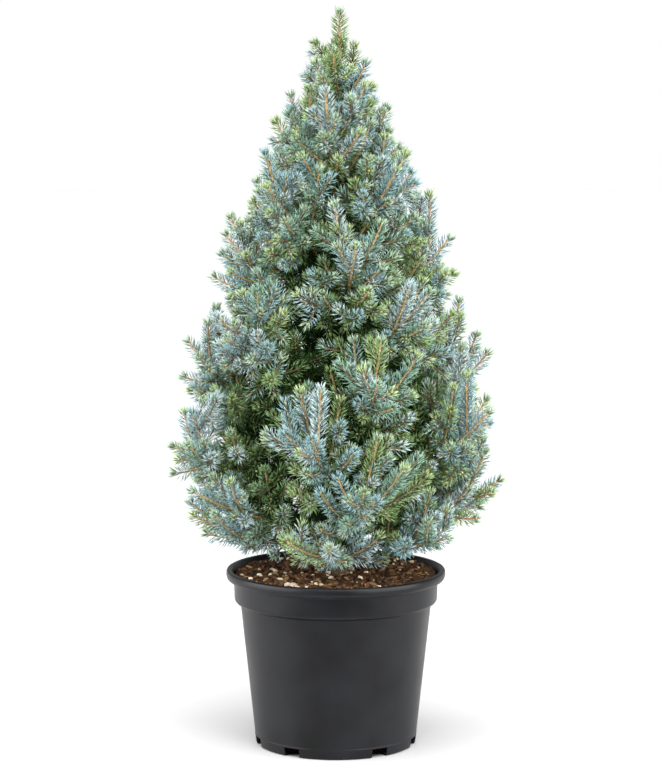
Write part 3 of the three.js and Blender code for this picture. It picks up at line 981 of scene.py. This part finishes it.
class SPRUCE_OT_twigs(bpy.types.Operator):
    """Twigs that go on from the boughs and the stem, with a bud at each tip"""

    bl_idname = "spruce.twigs"
    bl_label = "Twigs and buds"

    def execute(self, context):
        settings = context.scene.spruce_crown
        _, shoots = crown_growth(settings.seed)
        parts = {name: [] for name in TWIG_TINTS}
        buds = []
        for shoot in shoots:
            name, (foot, tip), sides, step = TWIG_FORMS[shoot["order"]]
            path = resampled(twig_path(shoot), step)
            parts[name].append(tube(path, np.linspace(foot, tip, len(path)), sides))
            along = unit(path[-1] - path[-2])
            bud = path[-1] + along * np.array(BUD["runs"])[:, None]
            buds.append(tube(bud, BUD["radii"], BUD["sides"]))
        for name, gains in TWIG_TINTS.items():
            dark, light = tints(settings.twig, gains)
            material = mottled(name, dark, light, BARK_SCALE, (0.6, 0.8), bump=(1100, 0.25))
            add_mesh(name, *joined(parts[name]), material, "bark")
        dark = opaque(settings.twig, 1.1)
        light, bloom = tints(settings.young, (0.9, 1.0))
        material = assorted("buds", dark, light, bloom, 60.0, (0.5, 0.7))
        add_mesh("buds", *joined(buds), material, "bark")
        return {"FINISHED"}


KINDS = ("blue", "silver", "teal", "green", "old", "shade", "fresh", "young")
# Share of the full number of needles and needles in the tuft at the tip, for each order of shoot
COVER = ((1.0, 14), (1.0, 14), (0.95, 11), (0.7, 7))
SHADE_COVER = 0.8
# Shoots above this height stand against the sky: their needles are denser, and a share of them is darker
TOP = {"from": 600, "cover": 1.6, "old": 0.5, "slim": 60, "length": 0.86}
# Share of green sprays and how much it grows to the right, then where silver and blue end among the rest
SPRAYS = {"green": 0.2, "right": 0.14, "silver": 0.3, "blue": 0.78}
# Depths below the crown's outside at which needles become old, and then take the shade colour, a painted
# shade for the crown's inside
DEPTHS = {"old": (32, 62), "shade": (56, 80)}
# Soft growth at tips: how deep it is found, its chance for each order, its length, and its youngest part
SOFT = {"depth": 40, "chances": (0.7, 0.7, 0.4, 0.4), "length": (2, 7), "young_chance": 0.35, "young": 0.4}
# How needles stand on a shoot, in millimetres, degrees and shares of their length
NEEDLE = {
    "least": 8, "tuft": 1.5, "roll_vary": 20, "lean": 64, "tip_lean": 32, "lean_vary": 11, "rise": 0.12,
    "from_axis": 0.5, "vary": (0.82, 1.08), "tip_length": 0.78, "tip_part": 9, "foot_length": 0.75,
    "foot_part": 8, "bend_at": 0.58, "bend": 0.3, "bend_rise": 0.05, "middle": 0.5, "spike_foot": 0.9,
}
NEEDLE_FACES = ((1, 0, 2), (2, 0, 3), (3, 0, 1), (1, 2, 4), (2, 3, 4), (3, 1, 4))
SPIKE_FACES = ((0, 1, 3), (1, 2, 3), (2, 0, 3))


def spray_kind(shoot, random):
    """The colour of a spray's outer needles: the top shoot is green, and more are so on the plant's right."""
    tip = shoot["path"][-1]
    green = SPRAYS["green"] + SPRAYS["right"] * tip[0] / CROWN["radius"]
    chance = random.random()
    if chance < green or tip[2] > TOP["from"]:
        return "green"
    share = (chance - green) / (1 - green)
    if share < SPRAYS["silver"]:
        return "silver"
    return "blue" if share < SPRAYS["blue"] else "teal"


def kinds_along(shoot, base, to_tip, random):
    """The colour of each needle: bloom outside, old green below it, painted shade inside and soft growth at
    tips.
    """
    count = len(base)
    kind = np.full(count, KINDS.index(spray_kind(shoot, random)))
    inset = crown_radius(base[:, 2]) - from_axis(base)
    for name, depths in DEPTHS.items():
        kind[inset > random.uniform(*depths, count)] = KINDS.index(name)
    if shoot["path"][-1][2] > TOP["from"]:
        kind[random.random(count) < TOP["old"]] = KINDS.index("old")
    if inset[-1] < SOFT["depth"] and random.random() < SOFT["chances"][shoot["order"]]:
        soft = random.uniform(*SOFT["length"])
        kind[to_tip < soft] = KINDS.index("fresh")
        if random.random() < SOFT["young_chance"]:
            kind[to_tip < SOFT["young"] * soft] = KINDS.index("young")
    return kind


def below_top(z):
    """0 at the crown's apex, rising to 1 where the crown is no longer slim."""
    return np.clip(crown_radius(z) / TOP["slim"], 0, 1)


def needles_on(shoot, settings, random):
    """Base, middle and tip of each needle of a shoot, and its kind."""
    path = twig_path(shoot)
    total = path_length(path)
    cover, tuft = COVER[shoot["order"]]
    cover *= lerp(TOP["cover"], 1, below_top(path[-1][2]))
    rows = max(int(total / 10 * settings.needles_per_cm * cover), NEEDLE["least"])
    runs = (np.arange(rows) + random.random(rows)) / rows * total
    runs = np.append(runs, total - NEEDLE["tuft"] * random.random(tuft))
    count = len(runs)

    def either_way(size):
        return random.uniform(-size, size, count)

    at = runs / total * (len(path) - 1)
    i = np.minimum(at.astype(int), len(path) - 2)
    share = (at - i)[:, None]
    _, alongs, sides, acrosses = (np.array(axis) for axis in zip(*frames_along(path)))
    along = unit(alongs[i] * (1 - share) + alongs[i + 1] * share)
    roll = np.radians(GOLDEN_TURN * np.arange(count) + either_way(NEEDLE["roll_vary"]))[:, None]
    out = sides[i] * np.cos(roll) + acrosses[i] * np.sin(roll)
    to_tip = total - runs
    young = np.clip(1 - to_tip / NEEDLE["tip_part"], 0, 1)
    lean = lerp(NEEDLE["lean"], NEEDLE["tip_lean"], young) + either_way(NEEDLE["lean_vary"])
    lean = np.radians(lean)[:, None]
    direction = unit(along * np.cos(lean) + out * np.sin(lean) + UP * NEEDLE["rise"])
    base = path[i] * (1 - share) + path[i + 1] * share + out * NEEDLE["from_axis"]
    long = settings.needle_length / MM * random.uniform(*NEEDLE["vary"], count)
    long *= lerp(1, NEEDLE["tip_length"], young)
    long *= lerp(NEEDLE["foot_length"], 1, np.clip(runs / NEEDLE["foot_part"], 0, 1))
    long *= lerp(TOP["length"], 1, below_top(base[:, 2]))
    middle = base + direction * (NEEDLE["bend_at"] * long)[:, None]
    bent = unit(direction + along * NEEDLE["bend"] + UP * NEEDLE["bend_rise"])
    tip = middle + bent * ((1 - NEEDLE["bend_at"]) * long)[:, None]
    kind = kinds_along(shoot, base, to_tip, random)
    kept = (kind != KINDS.index("shade")) | (random.random(count) < SHADE_COVER)
    kept &= tip[:, 2] > lowest_at(tip)
    return base[kept], middle[kept], tip[kept], kind[kept]


def needle_mesh(base, middle, tip, width, random, plain):
    """Three-sided needles that swell to the middle and end in a point; plain ones are broad spikes."""
    along = unit(tip - base)
    side = unit(np.cross(along, unit(random.normal(size=base.shape))))
    across = np.cross(along, side)
    turns = turns_of(3)
    ring = np.cos(turns)[None, :, None] * side[:, None] + np.sin(turns)[None, :, None] * across[:, None]
    if plain:
        rows = (base[:, None] + ring * width * NEEDLE["spike_foot"], tip[:, None])
        faces = SPIKE_FACES
    else:
        rows = (base[:, None], middle[:, None] + ring * width * NEEDLE["middle"], tip[:, None])
        faces = NEEDLE_FACES
    places = np.concatenate(rows, axis=1)
    triangles = np.array(faces)[None] + places.shape[1] * np.arange(len(base))[:, None, None]
    return places.reshape(-1, 3), triangles.reshape(-1, 3)


class SPRUCE_OT_needles(bpy.types.Operator):
    """Needles round every twig, joined into pieces by colour"""

    bl_idname = "spruce.needles"
    bl_label = "Needles"

    def execute(self, context):
        settings = context.scene.spruce_crown
        _, shoots = crown_growth(settings.seed)
        random = np.random.default_rng(settings.seed)
        lots = [needles_on(shoot, settings, random) for shoot in shoots]
        base, middle, tip = (np.vstack([lot[k] for lot in lots]) for k in range(3))
        kind = np.concatenate([lot[3] for lot in lots])
        width = settings.needle_width / MM
        replaced = MASSES
        for number, name in enumerate(KINDS):
            plain = name == "shade"
            most = PIECE_TRIANGLES // len(SPIKE_FACES if plain else NEEDLE_FACES)
            dark, light, bloom = tints(getattr(settings, name), (0.55, 1.4, 1.1))
            shine = 0.03 if plain else 0.22
            material = assorted(f"needles_{name}", dark, light, bloom, 120.0, (0.45, 0.6), specular=shine)
            chosen = np.flatnonzero(kind == number)
            for part in range(0, len(chosen), most):
                pick = chosen[part : part + most]
                places, triangles = needle_mesh(base[pick], middle[pick], tip[pick], width, random, plain)
                label = f"needles_{name}_{part // most + 1}"
                add_mesh(label, places, triangles, material, "needles", replaced)
                replaced = ()
        return {"FINISHED"}


# Stage, in metres
FLOOR = {"radius": 9.0, "front": -0.36, "corners": 96}
DARK_FRONT = {"between": (-0.9, -0.3), "share": 0.2}
PANEL_SIZE = (1.9, 0.9)
SUN_ANGLE = math.radians(60)
LIT_MIDDLE = Vector((0, 0, 0.3))
CAMERA = {"sensor": 36, "lens": 131.77, "down": 6.99, "turn": 0.12}


def add_floor(settings):
    """A round floor, cut off close in front of the pot so that the pot doesn't mirror it there."""
    mesh = bpy.data.meshes.new("floor")
    turns = turns_of(FLOOR["corners"])
    radius = FLOOR["radius"]
    outline = [(radius * math.cos(a), max(radius * math.sin(a), FLOOR["front"]), 0) for a in turns]
    mesh.from_pydata(outline, [], [list(range(len(outline)))])
    dark, light = tints(settings.floor, (0.99, 1.0))
    mesh.materials.append(mottled("floor_paint", dark, light, 3.0, (0.6, 0.7), specular=0.2))
    floor = placed("floor", mesh)


def add_surround(scene, settings):
    """A surround that the camera sees as white, and that lights the plant less from the front."""
    world = bpy.data.worlds.new("white_surround")
    world.use_nodes = True
    nodes = world.node_tree.nodes
    link = world.node_tree.links.new
    background = nodes["Background"]
    background.inputs["Color"].default_value = (1, 1, 1, 1)
    way = nodes.new("ShaderNodeSeparateXYZ")
    link(nodes.new("ShaderNodeTexCoord").outputs["Generated"], way.inputs[0])
    onto = (settings.sky * DARK_FRONT["share"], settings.sky)
    around = spread_over(nodes, link, way.outputs["Y"], DARK_FRONT["between"], onto)
    strength = nodes.new("ShaderNodeMapRange")
    link(nodes.new("ShaderNodeLightPath").outputs["Is Camera Ray"], strength.inputs["Value"])
    link(around, strength.inputs["To Min"])
    strength.inputs["To Max"].default_value = 1.0
    link(strength.outputs["Result"], background.inputs["Strength"])
    scene.world = world


def add_light(name, kind, place, power):
    """A panel or a broad sun that shines on the plant from a place."""
    light = bpy.data.lights.new(name, kind)
    light.energy = power
    if kind == "AREA":
        light.shape = "RECTANGLE"
        light.size, light.size_y = PANEL_SIZE
    else:
        light.angle = SUN_ANGLE
    lamp = placed(name, light)
    lamp.location = place
    lamp.rotation_euler = (LIT_MIDDLE - Vector(place)).to_track_quat("-Z", "Y").to_euler()


def add_camera(scene, settings):
    """A camera at the photograph's viewing angle."""
    camera = bpy.data.cameras.new("front_camera")
    camera.sensor_fit = "VERTICAL"
    camera.sensor_height = CAMERA["sensor"]
    camera.lens = CAMERA["lens"]
    view = placed("front_camera", camera)
    view.location = (0, -settings.distance, settings.height)
    view.rotation_euler = (math.radians(90 - CAMERA["down"]), 0, math.radians(CAMERA["turn"]))
    scene.camera = view


class SPRUCE_OT_stage(bpy.types.Operator):
    """Pale floor, soft light and a camera in front"""

    bl_idname = "spruce.stage"
    bl_label = "Stage"

    def execute(self, context):
        scene = context.scene
        settings = scene.spruce_stage
        add_floor(settings)
        add_surround(scene, settings)
        lights = (
            ("left_panel", "AREA", (-1.41, -0.51, 0.46), settings.panels),
            ("right_panel", "AREA", (1.26, -0.82, 0.46), settings.panels),
            ("front_light", "SUN", (0.3, -1.7, 1.9), settings.key * 0.85),
            ("top_light", "SUN", (0.0, -0.2, 2.6), settings.key),
        )
        for name, kind, place, power in lights:
            add_light(name, kind, place, power)
        scene.view_settings.view_transform = "Standard"
        add_camera(scene, settings)
        return {"FINISHED"}


class SPRUCE_PT_panel(bpy.types.Panel):
    """Lists what the plant is made of"""

    bl_idname = "SPRUCE_PT_panel"
    bl_label = "Potted spruce"
    bl_space_type = "VIEW_3D"
    bl_region_type = "UI"
    bl_category = "Spruce"

    def draw(self, context):
        for group, (_, *operators) in GROUPS.items():
            box = self.layout.box()
            settings = getattr(context.scene, group)
            for name in settings.__annotations__:
                box.prop(settings, name)
            for operator in operators:
                box.operator(operator.bl_idname)


# Each group of settings, and the operators that build from it
GROUPS = {
    "spruce_pot": (SprucePotSettings, SPRUCE_OT_pot),
    "spruce_bed": (SpruceBedSettings, SPRUCE_OT_bed),
    "spruce_crown": (SpruceCrownSettings, SPRUCE_OT_wood, SPRUCE_OT_twigs, SPRUCE_OT_needles),
    "spruce_stage": (SpruceStageSettings, SPRUCE_OT_stage),
}
CLASSES = [cls for group in GROUPS.values() for cls in group] + [SPRUCE_PT_panel]


def register():
    for cls in CLASSES:
        bpy.utils.register_class(cls)
    for name, (settings, *_) in GROUPS.items():
        setattr(bpy.types.Scene, name, bpy.props.PointerProperty(type=settings))


def unregister():
    for name in GROUPS:
        delattr(bpy.types.Scene, name)
    for cls in reversed(CLASSES):
        bpy.utils.unregister_class(cls)


def main():
    register()
    bpy.ops.spruce.pot()
    bpy.ops.spruce.bed()
    bpy.ops.spruce.wood()
    bpy.ops.spruce.twigs()
    bpy.ops.spruce.needles()
    bpy.ops.spruce.stage()


if __name__ == "__main__":
    main()
